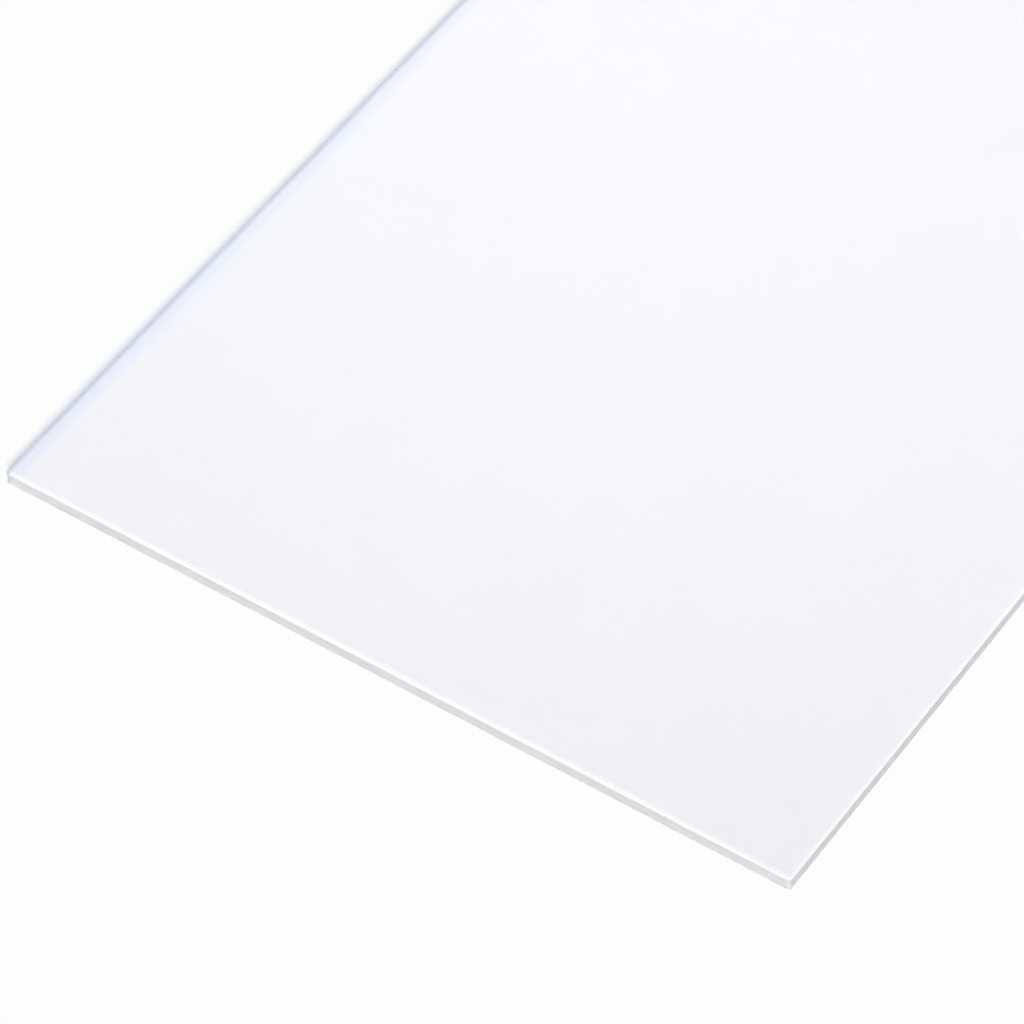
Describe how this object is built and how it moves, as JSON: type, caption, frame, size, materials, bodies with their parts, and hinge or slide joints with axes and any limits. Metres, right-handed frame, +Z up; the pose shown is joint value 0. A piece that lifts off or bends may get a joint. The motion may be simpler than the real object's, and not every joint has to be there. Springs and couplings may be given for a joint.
{
  "type": "silicone rubber sheet",
  "caption": "Flat rectangular sheet of translucent silicone rubber, cut to size, for gaskets, pads, seals and protective layers.",
  "frame": {"origin": "centre of the underside", "axes": "+X along the short side, +Y along the long side, +Z up through the thickness"},
  "size_m": [0.2, 0.3, 0.003],
  "materials": {
    "translucent_rubber": "satin"
  },
  "bodies": {
    "root": {"silicone_sheet": "translucent_rubber"}
  },
  "joints": []
}
